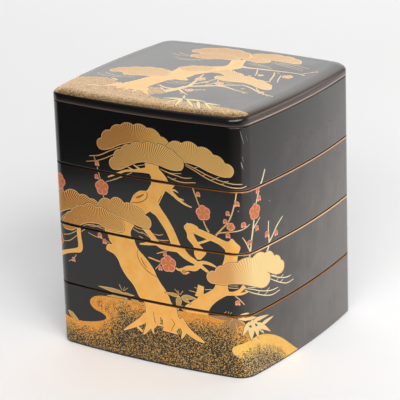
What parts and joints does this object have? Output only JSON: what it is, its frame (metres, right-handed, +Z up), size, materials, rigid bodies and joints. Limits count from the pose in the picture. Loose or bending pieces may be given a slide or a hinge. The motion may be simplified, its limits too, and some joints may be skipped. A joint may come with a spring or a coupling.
{
  "type": "tiered lacquer box",
  "caption": "Stacking lacquered food box of bow-sided trays under a lift-off lid, painted over the front, side and lid with gold pine trees, plum blossom and bamboo.",
  "frame": {"origin": "under the middle of the box, on the surface that it stands on", "axes": "+Z up, -Y towards the decorated front, +X towards the right-hand side as one faces the front"},
  "size_m": [0.23, 0.223, 0.2641],
  "materials": {
    "bottom_tray_lacquer": "black lacquer over wood, polished, with flat gold painted decoration",
    "second_tray_lacquer": "black lacquer over wood, polished, with flat gold painted decoration",
    "third_tray_lacquer": "black lacquer over wood, polished, with flat gold painted decoration",
    "top_tray_lacquer": "black lacquer over wood, polished, with flat gold painted decoration",
    "lid_lacquer": "black lacquer over wood, polished, with flat gold painted decoration"
  },
  "bodies": {
    "root": {"bottom_tray": "bottom_tray_lacquer", "second_tray": "second_tray_lacquer", "third_tray": "third_tray_lacquer", "top_tray": "top_tray_lacquer", "lid": "lid_lacquer"}
  },
  "joints": []
}
